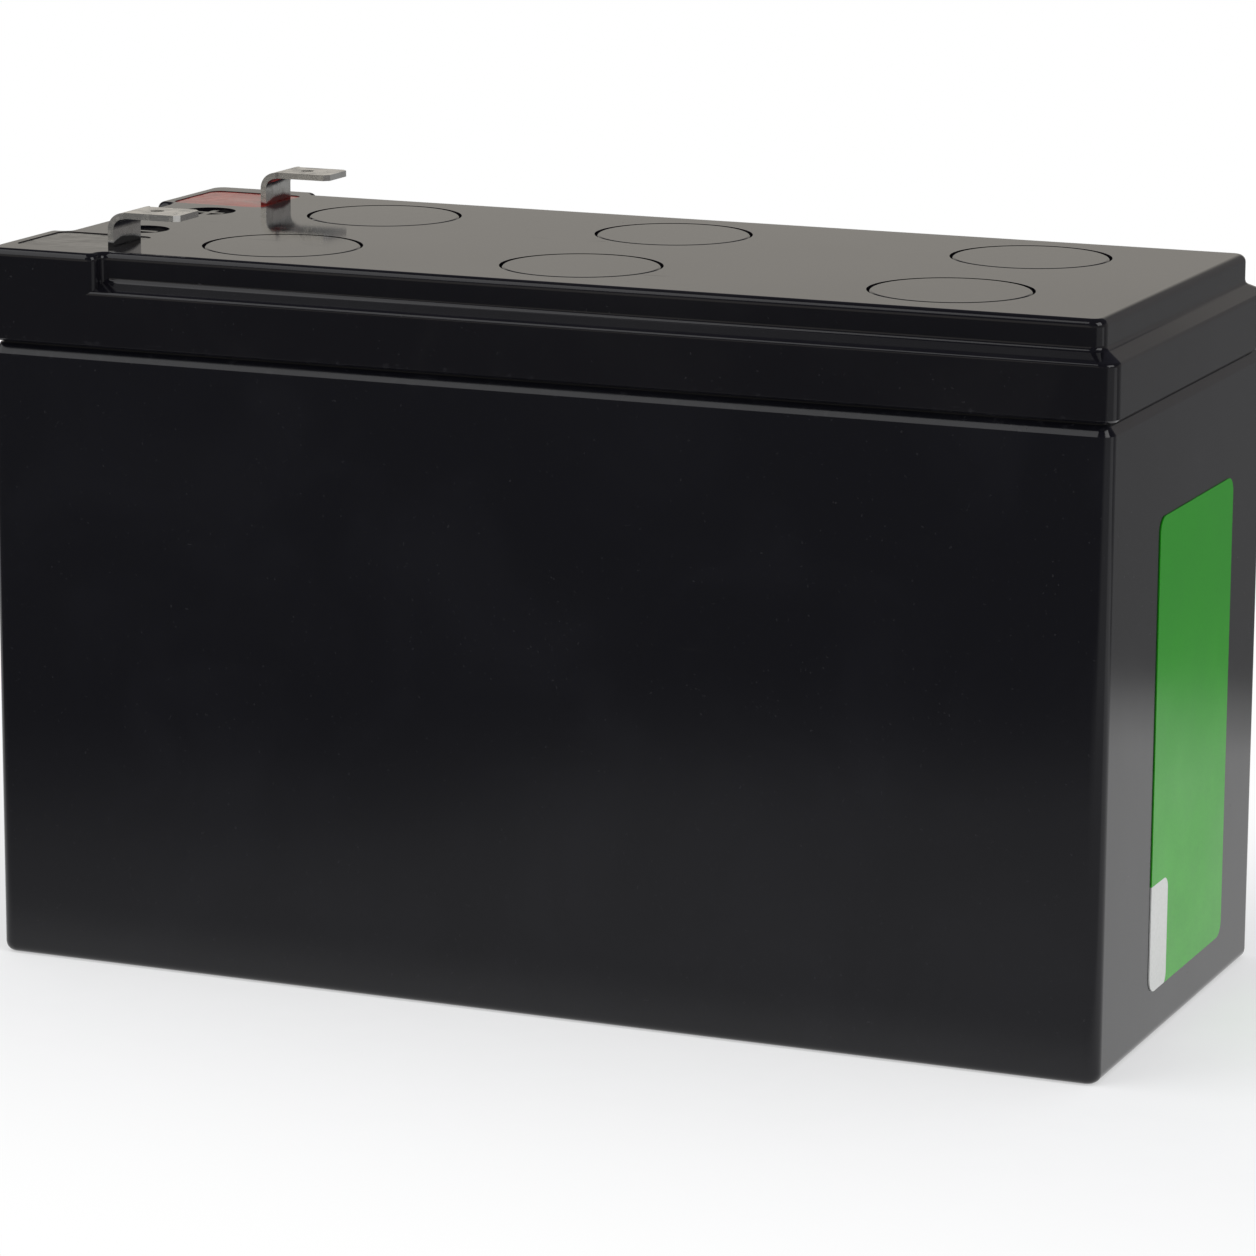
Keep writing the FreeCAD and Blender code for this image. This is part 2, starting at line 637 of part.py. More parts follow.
def make_marks(body):
    """A shallow round recess beside each terminal, with its polarity in low relief."""
    sketch = new_sketch(body, "MarkRecesses", height="Places.lid_top")
    for row in ROWS:
        circle(sketch, "Places.mark_x", signed(row, "Places.mark_y"), "Sizes.mark_diameter")
    cut(body, "MarkRecess", sketch, "Sizes.mark_depth")
    for row in ROWS:
        side = "Near" if row < 0 else "Far"
        y = signed(row, "Places.mark_y")
        sketch = new_sketch(body, side + "MarkAlong", height="Places.mark_floor")
        box_outline(sketch, "Places.mark_x - Places.mark_half", "Places.mark_x + Places.mark_half",
                    y + " - Places.mark_bar_half", y + " + Places.mark_bar_half")
        extrude(body, "Pad", side + "BarAlong", sketch, "Sizes.mark_relief")
    sketch = new_sketch(body, "FarMarkAcross", height="Places.mark_floor")
    box_outline(sketch, "Places.mark_x - Places.mark_bar_half", "Places.mark_x + Places.mark_bar_half",
                "Places.mark_y - Places.mark_half", "Places.mark_y + Places.mark_half")
    extrude(body, "Pad", "FarBarAcross", sketch, "Sizes.mark_relief")


def make_vent_cover(number, row, column):
    """A flat disc that closes a vent well. Its origin is the middle of its underside."""
    body = new_body("vent_cover_%d" % number)
    place(body, vent_x(column), signed(row, "Places.row_offset"), "Places.cover_underside")
    sketch = new_sketch(body, "CoverOutline%d" % number)
    circle(sketch, "0", "0", "Sizes.cover_diameter")
    extrude(body, "Pad", "CoverDisc%d" % number, sketch, "Sizes.cover_thickness")
    return body


def make_vent_valve(number, row, column):
    """A rubber disc that lies on the vent hole, held down by the cover. Its origin is its foot."""
    body = new_body("vent_valve_%d" % number)
    place(body, vent_x(column), signed(row, "Places.row_offset"), "Places.vent_floor")
    sketch = new_sketch(body, "ValveOutline%d" % number)
    circle(sketch, "0", "0", "Sizes.valve_diameter")
    extrude(body, "Pad", "ValveDisc%d" % number, sketch, "Sizes.valve_thickness")
    return body


def make_terminal(label, row):
    """A tab bent twice: a foot on the lead post, a leg up through the resin, and the blade."""
    body = new_body(label)
    place(body, "Places.post_x", signed(row, "Places.terminal_y"), "Places.well_floor")
    sketch = new_sketch(body, label + "_profile", "XZ_Plane")
    leg = "Sizes.leg_offset"
    leg_inner = "Sizes.leg_offset + Sizes.tab_thickness"
    underside = "Places.tab_height - Sizes.tab_thickness"
    outline(sketch, (
        ("Sizes.leg_offset - Sizes.foot_length", "0", None),
        (leg_inner, "0", "Places.bend_outer"),
        (leg_inner, underside, "Sizes.bend_radius"),
        ("Places.tip_x", underside, None),
        ("Places.tip_x", "Places.tab_height", None),
        (leg, "Places.tab_height", "Places.bend_outer"),
        (leg, "Sizes.tab_thickness", "Sizes.bend_radius"),
        ("Sizes.leg_offset - Sizes.foot_length", "Sizes.tab_thickness", None),
    ))
    extrude(body, "Pad", label + "_strip", sketch, "Sizes.leg_width", both=True)

    sketch = new_sketch(body, label + "_sides", height="Places.tab_height")
    for side in (1, -1):
        leg_edge = signed(side, "Places.leg_half_width")
        edge = signed(side, "Places.tab_half_width")
        polygon(sketch, (
            ("Places.blade_start", leg_edge),
            ("Places.blade_start", edge),
            ("Places.tip_x - Sizes.tip_cut", edge),
            ("Places.tip_x", signed(side, "Places.tab_half_width - Sizes.tip_cut")),
            ("Places.tip_x", leg_edge),
        ))
    cut(body, label + "_blade", sketch, "Sizes.tab_thickness")
    sketch = new_sketch(body, label + "_detent", height="Places.tab_height")
    circle(sketch, "Places.tip_x - Sizes.tab_hole_setback", "0", "Sizes.tab_hole")
    cut(body, label + "_detent_hole", sketch, "Sizes.tab_thickness")
    return body


def make_seal(label, row, terminal):
    """The resin that fills a terminal well round the tab's foot and leg."""
    fill = new_body(label + "_fill")
    sketch = new_sketch(fill, label + "_outline", height="Places.well_floor")
    well_outline(sketch, row, "0", "Sizes.well_round")
    extrude(fill, "Pad", label + "_block", sketch, "Places.resin_top - Places.well_floor")
    seal = doc.addObject("Part::Cut", label)
    seal.Label = label
    seal.Base = fill
    seal.Tool = terminal
    doc.recompute()
    return seal


def pattern_across(body, name, feature, count):
    """Repeats a feature across the width at the plates' pitch."""
    pattern = body.newObject("PartDesign::LinearPattern", name)
    pattern.Originals = [feature]
    pattern.Direction = (origin_part(body, "Y_Axis"), [""])
    pattern.Mode = "Spacing"
    pattern.setExpression("Offset", "Places.plate_pitch")
    pattern.setExpression("Occurrences", count)
    body.Tip = pattern
    doc.recompute()
    return pattern


def make_plates(label, row, column, side, thickness, start, count, link):
    """One cell's plates of one sign, each with a lug, under the strap that is cast onto them.

    The strap stands at the -X or +X side of the cell. It carries a round post, or an upright lug
    that meets the partition and half of the weld through it.
    """
    body = new_body(label)
    place(body, column_x(column), signed(row, "Places.row_offset"))

    def across(inner, outer):
        ends = (signed(side, inner), signed(side, outer))
        return ends if side > 0 else ends[::-1]

    sketch = new_sketch(body, label + "_strap", height="Places.strap_foot")
    left, right = across("Places.strap_inner", "Places.strap_outer")
    box_outline(sketch, left, right, "-Places.strap_half_length", "Places.strap_half_length")
    extrude(body, "Pad", label + "_bar", sketch, "Sizes.strap_height")

    sketch = new_sketch(body, label + "_plate", "XZ_Plane", opposite(start))
    inner = signed(side, "Places.lug_inner")
    polygon(sketch, (
        (signed(side, "-Places.plate_half_length"), "Places.plate_foot"),
        (signed(side, "Places.plate_half_length"), "Places.plate_foot"),
        (signed(side, "Places.plate_half_length"), "Places.strap_top"),
        (inner, "Places.strap_top"),
        (inner, "Places.plate_top"),
        (signed(side, "-Places.plate_half_length"), "Places.plate_top"),
    ))
    plate = extrude(body, "Pad", label + "_sheet", sketch, thickness, back=True)
    pattern_across(body, label + "_stack", plate, count)

    if link == "post":
        sketch = new_sketch(body, label + "_post", height="Places.strap_top")
        circle(sketch, signed(side, "Places.lug_offset"), signed(row, "Places.post_y"),
               "Sizes.post_diameter")
        extrude(body, "Pad", label + "_column", sketch, "Places.well_floor - Places.strap_top")
        return body

    sketch = new_sketch(body, label + "_link", height="Places.strap_foot")
    if link == "along":
        left, right = across("Places.cell_half_length - Sizes.link_thickness", "Places.cell_half_length")
        box_outline(sketch, left, right, "-Places.link_half_width", "Places.link_half_width")
        plane, normal, x = "YZ_Plane", side, "0"
        face = signed(side, "Places.cell_half_length")
    else:
        near, far = "Places.cell_half_width - Sizes.link_thickness", "Places.cell_half_width"
        low, high = (opposite(far), opposite(near)) if row > 0 else (near, far)
        box_outline(sketch, left, right, low, high)
        plane, normal, x = "XZ_Plane", row, signed(side, "Places.lug_offset")
        face = signed(row, "Places.cell_half_width")
    extrude(body, "Pad", label + "_upright", sketch, "Places.link_top - Places.strap_foot")
    sketch = new_sketch(body, label + "_weld", plane, face)
    weld_outline(sketch, x, "0")
    extrude(body, "Pad", label + "_half_weld", sketch, "Sizes.partition / 2", back=normal < 0)
    return body


def make_separators(number, row, column):
    """Glass mats, one folded under and up both sides of each positive plate."""
    label = "separators_%d" % number
    body = new_body(label)
    place(body, column_x(column), signed(row, "Places.row_offset"))
    sketch = new_sketch(body, label + "_fold", "YZ_Plane")
    start = "-Places.stack_half + Sizes.negative_plate"
    first = start + " + Places.mat_thickness"
    second = first + " + Sizes.positive_plate"
    end = second + " + Places.mat_thickness"
    polygon(sketch, (
        (start, "Sizes.base_plate"),
        (end, "Sizes.base_plate"),
        (end, "Places.mat_top"),
        (second, "Places.mat_top"),
        (second, "Places.plate_foot"),
        (first, "Places.plate_foot"),
        (first, "Places.mat_top"),
        (start, "Places.mat_top"),
    ))
    mat = extrude(body, "Pad", label + "_mat", sketch, "2 * Places.mat_half_length", both=True)
    pattern_across(body, label + "_mats", mat, "Places.positive_count")
    return body


def make_label():
    """A thin blank label on the end face, its corners rounded."""
    body = new_body("end_label")
    sketch = new_sketch(body, "LabelOutline", "YZ_Plane", "Places.case_end")
    box_outline(
        sketch,
        "Sizes.label_shift - Places.label_half_width",
        "Sizes.label_shift + Places.label_half_width",
        "Sizes.label_rise",
        "Sizes.label_rise + Sizes.label_height",
        "Sizes.label_round",
    )
    extrude(body, "Pad", "LabelSheet", sketch, "Sizes.label_thickness")
    return body


def make_cells():
    """The plates and mats of all six cells, joined in series from the negative terminal round."""
    pieces = []
    cells = list(each_cell())
    for number, (row, column) in enumerate(cells, start=1):
        negative_side = row
        links = ["along", "along"]
        if number == 1:
            links[0] = "post"
        if number == len(cells):
            links[1] = "post"
        if column == COLUMNS[-1]:
            links[1 if row == ROWS[0] else 0] = "across"
        pieces.append(make_plates(
            "negative_plates_%d" % number, row, column, negative_side, "Sizes.negative_plate",
            "-Places.stack_half", "Places.negative_count", links[0]))
        pieces.append(make_plates(
            "positive_plates_%d" % number, row, column, -negative_side, "Sizes.positive_plate",
            "-Places.stack_half + Sizes.negative_plate + Places.mat_thickness",
            "Places.positive_count", links[1]))
        pieces.append(make_separators(number, row, column))
    return pieces


def make_all():
    make_sheet()
    make_places()
    pieces = [make_case(), make_lid()]
    for number, (row, column) in enumerate(each_cell(), start=1):
        pieces.append(make_vent_cover(number, row, column))
        pieces.append(make_vent_valve(number, row, column))
    for row, sign in zip(ROWS, ("negative", "positive")):
        terminal = make_terminal(sign + "_terminal", row)
        pieces.append(terminal)
        pieces.append(make_seal(sign + "_seal", row, terminal))
    pieces.extend(make_cells())
    pieces.append(make_label())
    doc.recompute()
    return pieces


def check(pieces):
    """Stops before anything is written if an object failed or a piece has no sound solid."""
    for item in doc.Objects:
        if "Invalid" in item.State or "Error" in item.State:
            raise RuntimeError(item.Label + " failed")
    for piece in pieces:
        shape = piece.Shape
        if shape.isNull() or not shape.isValid() or not shape.Solids:
            raise RuntimeError(piece.Label + " is not a sound solid")


def write(pieces):
    os.makedirs(OUT, exist_ok=True)
    for piece in pieces:
        piece.Shape.exportStep(os.path.join(OUT, piece.Label + ".step"))
        box = piece.Shape.BoundBox
        print("%-20s %d solid(s) %10.1f mm3  x %.2f %.2f  y %.2f %.2f  z %.2f %.2f" % (
            piece.Label, len(piece.Shape.Solids), piece.Shape.Volume,
            box.XMin, box.XMax, box.YMin, box.YMax, box.ZMin, box.ZMax))


parts = make_all()
check(parts)
write(parts)
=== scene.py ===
# Looks of a sealed lead acid battery.
#
# Frame: metres, the origin is the centre of the base, +Z is up, +X runs along the length to the end
# that carries the label, and the terminals stand near the -X end, the negative one on the -Y side.

import math

import bpy
from mathutils import Matrix, Vector


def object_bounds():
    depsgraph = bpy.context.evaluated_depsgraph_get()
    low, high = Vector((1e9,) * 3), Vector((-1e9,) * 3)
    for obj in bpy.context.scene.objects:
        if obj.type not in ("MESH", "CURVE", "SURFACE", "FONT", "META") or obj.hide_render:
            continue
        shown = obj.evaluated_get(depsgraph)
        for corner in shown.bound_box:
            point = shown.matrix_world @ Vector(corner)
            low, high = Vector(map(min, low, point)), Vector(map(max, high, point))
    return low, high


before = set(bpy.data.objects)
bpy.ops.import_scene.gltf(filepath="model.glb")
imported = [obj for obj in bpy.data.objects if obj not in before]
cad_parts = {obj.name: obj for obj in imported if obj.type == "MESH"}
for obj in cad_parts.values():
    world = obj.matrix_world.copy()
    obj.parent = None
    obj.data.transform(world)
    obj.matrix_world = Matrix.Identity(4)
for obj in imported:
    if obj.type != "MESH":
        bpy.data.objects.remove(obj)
CAD_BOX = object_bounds()

MM = 0.001
CELLS = range(1, 7)

# The view: a long lens ahead of the long side, a little above, turned from level along +Y.
CAMERA_PLACE = Vector((0.2627, -0.6251, 0.1916))
CAMERA_YAW = math.radians(22.78)
CAMERA_PITCH = math.radians(-12.31)
CAMERA_ROLL = math.radians(0.27)
CAMERA_CLIP = 0.01
IMAGE_SIDE = 1256.0
FOCAL_PIXELS = 5365.0
SENSOR_WIDTH = 36.0

# The edge of a band of nicks fades out over this height.
RIM_FADE = 0.1 * MM

# The vent covers' rounded edge, and the angles up to which faces are one flat and above which an
# edge is rounded.
COVER_EDGE = 0.40 * MM
SAME_PLACE = 0.001 * MM
FLAT_ANGLE = math.radians(1.0)
EDGE_ANGLE = math.radians(50.0)

# The terminals' place across the width, and the film of resin on their legs: its height, how far
# its limit wanders and fades, and the length that sets how fast it rises away from the middle.
TERMINAL_Y = 21.65 * MM
FILM_TOP = 94.1 * MM
FILM_WANDER = 0.25 * MM
FILM_FADE = 0.25 * MM
FILM_ARCH = 22.0 * MM
SIDE_FADE = 1.0 * MM

# The white field on the label, which is cut off by the label's lower corner and its near side.
PATCH_MIDDLE_Y = -11.0 * MM
PATCH_MIDDLE_Z = 13.0 * MM
PATCH_HALF_Y = 5.8 * MM
PATCH_HALF_Z = 7.0 * MM
PATCH_ROUND = 1.6 * MM
PATCH_FADE = 0.05 * MM

# The heights between which the label's green grows paler downwards, a painted reflection of the pale
# floor.
LABEL_REFLECTION_START = 60.0 * MM
LABEL_REFLECTION_FULL = 15.0 * MM

# The floor, in metres, and how its shadow gives way to white with the distance from the battery.
FLOOR_HALF_SIDE = 3.0
WHITE_DISTANCE = 0.10
WHITE_AT_FOOT = 0.45

# What the plastic mirrors: the studio low down behind, towards the label's end, and high up.
STUDIO_LOW = (0.49, 0.465, 0.425)
STUDIO_BY_LABEL = (0.10, 0.10, 0.12)
STUDIO_HIGH = (0.06, 0.06, 0.075)
PLAIN_LIGHT = (0.62, 0.63, 0.65)

# Each lamp's name, place in metres, side in metres and power in watts.
LAMP_TARGET = (0.0, 0.0, 0.05)
LAMPS = (
    ("key", (-1.00, -0.60, 1.10), 1.50, 9.0),
    ("side", (1.10, -0.35, 1.00), 0.90, 6.0),
)


class Graph:
    """A material or world under construction: adds nodes and joins what they are given."""

    def __init__(self, owner):
        owner.use_nodes = True
        self.tree = owner.node_tree
        self.tree.nodes.clear()

    def add(self, kind, inputs=None, **settings):
        node = self.tree.nodes.new(kind)
        for name, setting in settings.items():
            setattr(node, name, setting)
        for name, given in (inputs or {}).items():
            if isinstance(given, bpy.types.NodeSocket):
                self.tree.links.new(given, node.inputs[name])
            else:
                node.inputs[name].default_value = given
        return node

    def place(self):
        """The point on the surface in the part's own frame, in metres."""
        return self.add("ShaderNodeTexCoord").outputs["Object"]

    def stretched(self, scale):
        """The same point with each axis scaled, for a grain that runs one way."""
        return self.add("ShaderNodeMapping", {"Vector": self.place(), "Scale": scale}).outputs["Vector"]

    def axis(self, name, point=None):
        return self.add("ShaderNodeSeparateXYZ", {"Vector": point or self.place()}).outputs[name]

    def noise(self, scale, detail=2.0, roughness=0.5, distortion=0.0, point=None):
        return self.add("ShaderNodeTexNoise", {
            "Vector": point or self.place(),
            "Scale": scale,
            "Detail": detail,
            "Roughness": roughness,
            "Distortion": distortion,
        }).outputs["Fac"]

    def fade(self, given, start, end, low=0.0, high=1.0):
        """Runs from low to high while the given value runs from start to end."""
        return self.add("ShaderNodeMapRange", {
            "Value": given,
            "From Min": start,
            "From Max": end,
            "To Min": low,
            "To Max": high,
        }, interpolation_type="SMOOTHSTEP").outputs["Result"]

    def math(self, operation, first, second=0.0):
        return self.add("ShaderNodeMath", {0: first, 1: second}, operation=operation).outputs[0]

    def distance(self, name, middle):
        """How far the point lies from a middle along one axis."""
        return self.math("ABSOLUTE", self.math("SUBTRACT", self.axis(name), middle))

    def blend(self, amount, first, second):
        """The first colour where the amount is nought, and the second where it is one."""
        inputs = {0: amount, 6: first, 7: second}
        return self.add("ShaderNodeMix", inputs, data_type="RGBA").outputs[2]

    def bump(self, height, strength, distance, normal=None):
        inputs = {"Height": height, "Strength": strength, "Distance": distance}
        if normal:
            inputs["Normal"] = normal
        return self.add("ShaderNodeBump", inputs).outputs["Normal"]

    def surface(self, **inputs):
        """The shader, named by its sockets with spaces as underscores, joined to the output."""
        named = {name.replace("_", " "): given for name, given in inputs.items()}
        shader = self.add("ShaderNodeBsdfPrincipled", named)
        self.add("ShaderNodeOutputMaterial", {"Surface": shader.outputs[0]})


def rgb(red, green, blue):
    return (red, green, blue, 1.0)


def moulded_plastic(name, dark, pale, gloss, dull, rim=None):
    """Black moulded plastic: a faint grain, handling smudges, fine scratches and a slight bow.

    The rim is a range of heights in millimetres that carries tiny pale nicks.
    """
    material = bpy.data.materials.new(name)
    graph = Graph(material)
    smudge = graph.fade(graph.noise(38.0, detail=5.0, roughness=0.62, distortion=0.8), 0.42, 0.72)
    lengthwise = graph.stretched((60.0, 900.0, 1400.0))
    lines = graph.noise(1.0, detail=3.0, roughness=0.7, distortion=0.3, point=lengthwise)
    scratch = graph.fade(lines, 0.68, 0.74)
    specks = graph.fade(graph.noise(2600.0, detail=1.0), 0.74, 0.80)
    colour = graph.blend(smudge, rgb(*dark), rgb(*pale))
    colour = graph.blend(graph.math("MULTIPLY", specks, 0.12), colour, rgb(0.09, 0.09, 0.10))
    if rim:
        height = graph.axis("Z")
        low = graph.fade(height, rim[0] * MM - RIM_FADE, rim[0] * MM)
        high = graph.fade(height, rim[1] * MM, rim[1] * MM + RIM_FADE, 1.0, 0.0)
        nicks = graph.fade(graph.noise(700.0, detail=4.0, roughness=0.7), 0.56, 0.66)
        worn = graph.math("MULTIPLY", graph.math("MULTIPLY", low, high), nicks)
        colour = graph.blend(graph.math("MULTIPLY", worn, 0.14), colour, rgb(0.05, 0.05, 0.055))
    cloud = graph.noise(24.0, detail=6.0, roughness=0.6, distortion=1.2)
    roughness = graph.fade(cloud, 0.35, 0.75, gloss, dull)
    roughness = graph.math("ADD", roughness, graph.math("MULTIPLY", scratch, 0.12))
    roughness = graph.math("ADD", roughness, graph.math("MULTIPLY", specks, 0.2))
    bow = graph.bump(graph.noise(16.0, detail=1.0, roughness=0.4), 0.35, 0.6 * MM)
    grain = graph.bump(graph.noise(3200.0, detail=3.0, roughness=0.6), 0.05, 0.04 * MM, bow)
    scored = graph.bump(scratch, 0.04, 0.02 * MM, grain)
    graph.surface(Base_Color=colour, Roughness=roughness, IOR=1.46, Normal=scored)
    return material


def rubber(name):
    """Black rubber with a pale bloom."""
    material = bpy.data.materials.new(name)
    graph = Graph(material)
    bloom = graph.fade(graph.noise(420.0, detail=5.0, roughness=0.6, distortion=0.5), 0.4, 0.75)
    colour = graph.blend(bloom, rgb(0.010, 0.010, 0.010), rgb(0.040, 0.039, 0.037))
    roughness = graph.fade(graph.noise(900.0, detail=3.0), 0.3, 0.7, 0.55, 0.8)
    grain = graph.bump(graph.noise(6000.0), 0.2, 0.05 * MM)
    graph.surface(Base_Color=colour, Roughness=roughness, IOR=1.5, Normal=grain)
    return material


def resin_film(graph):
    """How far the resin covers a terminal's leg, up to an uneven limit that is highest at its middle."""
    uneven = graph.fade(graph.noise(190.0, detail=1.0), 0.3, 0.7, -FILM_WANDER, FILM_WANDER)
    off_middle = graph.math("SUBTRACT", graph.math("ABSOLUTE", graph.axis("Y")), TERMINAL_Y)
    square = graph.math("MULTIPLY", off_middle, off_middle)
    arch = graph.math("MULTIPLY", square, 1.0 / FILM_ARCH)
    level = graph.math("ADD", graph.math("ADD", graph.axis("Z"), uneven), arch)
    return graph.fade(level, FILM_TOP - FILM_FADE, FILM_TOP + FILM_FADE, 1.0, 0.0)


def tinned_brass(name):
    """Dull bright tin over brass: drawn lines along the strip, cloudy patches, a few dark spots.

    The film of resin on the legs is black on the near side and red on the far one.
    """
    material = bpy.data.materials.new(name)
    graph = Graph(material)
    lengthwise = graph.stretched((140.0, 9000.0, 9000.0))
    drawn = graph.noise(1.0, detail=4.0, roughness=0.6, point=lengthwise)
    cloud = graph.fade(graph.noise(420.0, detail=5.0, roughness=0.6, distortion=0.6), 0.35, 0.7)
    spots = graph.fade(graph.noise(1500.0, detail=3.0, roughness=0.6), 0.66, 0.74)
    colour = graph.blend(cloud, rgb(0.97, 0.96, 0.93), rgb(0.84, 0.83, 0.79))
    colour = graph.blend(graph.math("MULTIPLY", spots, 0.6), colour, rgb(0.30, 0.29, 0.26))
    roughness = graph.fade(cloud, 0.0, 1.0, 0.14, 0.28)
    roughness = graph.math("ADD", roughness, graph.math("MULTIPLY", drawn, 0.08))
    waves = graph.bump(graph.noise(900.0), 0.25, 0.06 * MM)
    lines = graph.bump(drawn, 0.15, 0.03 * MM, waves)

    film = resin_film(graph)
    red_side = graph.fade(graph.axis("Y"), -SIDE_FADE, SIDE_FADE)
    film_colour = graph.blend(red_side, rgb(0.010, 0.010, 0.011), rgb(0.130, 0.007, 0.005))
    colour = graph.blend(film, colour, film_colour)
    metallic = graph.fade(film, 0.0, 1.0, 1.0, 0.0)
    graph.surface(Base_Color=colour, Metallic=metallic, Roughness=roughness, Normal=lines)
    return material


def resin(name, deep, bright, gloss):
    """Poured resin: a glassy skin that dips and swells, with fine bubbles in it."""
    material = bpy.data.materials.new(name)
    graph = Graph(material)
    flow = graph.fade(graph.noise(260.0, detail=3.0, distortion=0.6), 0.3, 0.7)
    bubbles = graph.fade(graph.noise(3600.0, detail=1.0), 0.72, 0.80)
    colour = graph.blend(flow, rgb(*deep), rgb(*bright))
    dulled = graph.noise(340.0, detail=4.0, roughness=0.6)
    roughness = graph.fade(dulled, 0.35, 0.75, gloss, gloss + 0.10)
    swell = graph.bump(graph.noise(170.0, roughness=0.4), 0.5, 0.5 * MM)
    pits = graph.bump(bubbles, 0.2, 0.08 * MM, swell)
    graph.surface(Base_Color=colour, Roughness=roughness, IOR=1.5, Normal=pits)
    return material


def cast_lead(name, dark, pale, metallic):
    """Lead plates and the strap that they are cast onto, with a rough, patchy skin."""
    material = bpy.data.materials.new(name)
    graph = Graph(material)
    patches = graph.fade(graph.noise(300.0, detail=6.0, roughness=0.65, distortion=0.4), 0.35, 0.7)
    colour = graph.blend(patches, rgb(*dark), rgb(*pale))
    roughness = graph.fade(graph.noise(1100.0, detail=4.0, roughness=0.6), 0.3, 0.7, 0.45, 0.75)
    skin = graph.bump(graph.noise(2400.0, detail=5.0, roughness=0.6), 0.3, 0.1 * MM)
    graph.surface(Base_Color=colour, Metallic=metallic, Roughness=roughness, Normal=skin)
    return material


def glass_mat(name):
    """White felted glass fibre."""
    material = bpy.data.materials.new(name)
    graph = Graph(material)
    upright = graph.stretched((1500.0, 1500.0, 5200.0))
    fibres = graph.noise(1.0, detail=5.0, roughness=0.7, distortion=1.5, point=upright)
    colour = graph.blend(fibres, rgb(0.62, 0.62, 0.60), rgb(0.84, 0.84, 0.82))
    roughness = graph.fade(fibres, 0.2, 0.8, 0.8, 0.95)
    felt = graph.bump(fibres, 0.5, 0.2 * MM)
    graph.surface(Base_Color=colour, Roughness=roughness, Normal=felt)
    return material


def white_field(graph):
    """One on the label's bare white field, a rectangle with rounded corners."""
    across = graph.distance("Y", PATCH_MIDDLE_Y)
    upward = graph.distance("Z", PATCH_MIDDLE_Z)
    inner_y = graph.math("MAXIMUM", graph.math("SUBTRACT", across, PATCH_HALF_Y - PATCH_ROUND), 0.0)
    inner_z = graph.math("MAXIMUM", graph.math("SUBTRACT", upward, PATCH_HALF_Z - PATCH_ROUND), 0.0)
    square_y = graph.math("MULTIPLY", inner_y, inner_y)
    square_z = graph.math("MULTIPLY", inner_z, inner_z)
    reach = graph.math("SQRT", graph.math("ADD", square_y, square_z))
    return graph.fade(reach, PATCH_ROUND - PATCH_FADE, PATCH_ROUND + PATCH_FADE, 1.0, 0.0)


def green_label(name):
    """A bright green film label, paler low down by a painted reflection of the floor, with a bare white
    field in its lower corner.
    """
    material = bpy.data.materials.new(name)
    graph = Graph(material)
    tone = graph.fade(graph.noise(90.0, detail=4.0, roughness=0.6), 0.3, 0.7)
    mottle = graph.fade(graph.noise(2800.0), 0.3, 0.8)
    # Painted reflection: the green grows paler towards the bottom, standing in for the floor mirrored in
    # the label.
    painted_reflection = graph.fade(graph.axis("Z"), LABEL_REFLECTION_START, LABEL_REFLECTION_FULL)
    colour = graph.blend(painted_reflection, rgb(0.012, 0.270, 0.005), rgb(0.040, 0.410, 0.014))
    colour = graph.blend(graph.math("MULTIPLY", tone, 0.25), colour, rgb(0.008, 0.230, 0.006))
    colour = graph.blend(graph.math("MULTIPLY", mottle, 0.15), colour, rgb(0.006, 0.200, 0.006))
    white = graph.blend(mottle, rgb(0.72, 0.72, 0.70), rgb(0.66, 0.66, 0.64))
    colour = graph.blend(white_field(graph), colour, white)
    roughness = graph.fade(graph.noise(60.0, detail=4.0), 0.3, 0.7, 0.16, 0.26)
    film = graph.bump(graph.noise(45.0, detail=3.0), 0.2, 0.3 * MM)
    weave = graph.bump(graph.noise(3000.0), 0.05, 0.03 * MM, film)
    graph.surface(Base_Color=colour, Roughness=roughness, IOR=1.30, Normal=weave)
    return material


def dress(names, material):
    """Puts one material on every slot of the named nodes."""
    for name in names:
        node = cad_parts[name]
        for holder in node.material_slots:
            holder.material = material


def soften(names, width):
    """Rounds the sharp edges of the named nodes, so that their seams show."""
    for name in names:
        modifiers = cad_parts[name].modifiers
        weld = modifiers.new("joined_faces", "WELD")
        weld.merge_threshold = SAME_PLACE
        flat = modifiers.new("whole_flats", "DECIMATE")
        flat.decimate_type = "DISSOLVE"
        flat.angle_limit = FLAT_ANGLE
        bevel = modifiers.new("soft_edge", "BEVEL")
        bevel.width = width
        bevel.segments = 2
        bevel.limit_method = "ANGLE"
        bevel.angle_limit = EDGE_ANGLE
        modifiers.new("plain_normals", "WEIGHTED_NORMAL")


def numbered(stem):
    return ["%s_%d" % (stem, number) for number in CELLS]


def dress_plastics():
    case = moulded_plastic(
        "case_plastic",
        dark=(0.0045, 0.0045, 0.0066),
        pale=(0.0065, 0.0065, 0.0090),
        gloss=0.10,
        dull=0.17,
        rim=(79.3, 80.7),
    )
    lid = moulded_plastic(
        "lid_plastic",
        dark=(0.0045, 0.0043, 0.0060),
        pale=(0.0068, 0.0065, 0.0080),
        gloss=0.05,
        dull=0.10,
        rim=(81.2, 81.9),
    )
    cover = moulded_plastic(
        "cover_plastic",
        dark=(0.0045, 0.0043, 0.0058),
        pale=(0.0070, 0.0067, 0.0080),
        gloss=0.05,
        dull=0.10,
    )
    dress(["case"], case)
    dress(["lid"], lid)
    dress(numbered("vent_cover"), cover)
    soften(numbered("vent_cover"), COVER_EDGE)


def dress_terminals():
    red = resin("red_resin", deep=(0.22, 0.012, 0.008), bright=(0.34, 0.022, 0.014), gloss=0.08)
    black = resin("black_resin", deep=(0.006, 0.006, 0.007), bright=(0.011, 0.011, 0.012), gloss=0.08)
    dress(["negative_terminal", "positive_terminal"], tinned_brass("tinned_tab"))
    dress(["positive_seal"], red)
    dress(["negative_seal"], black)


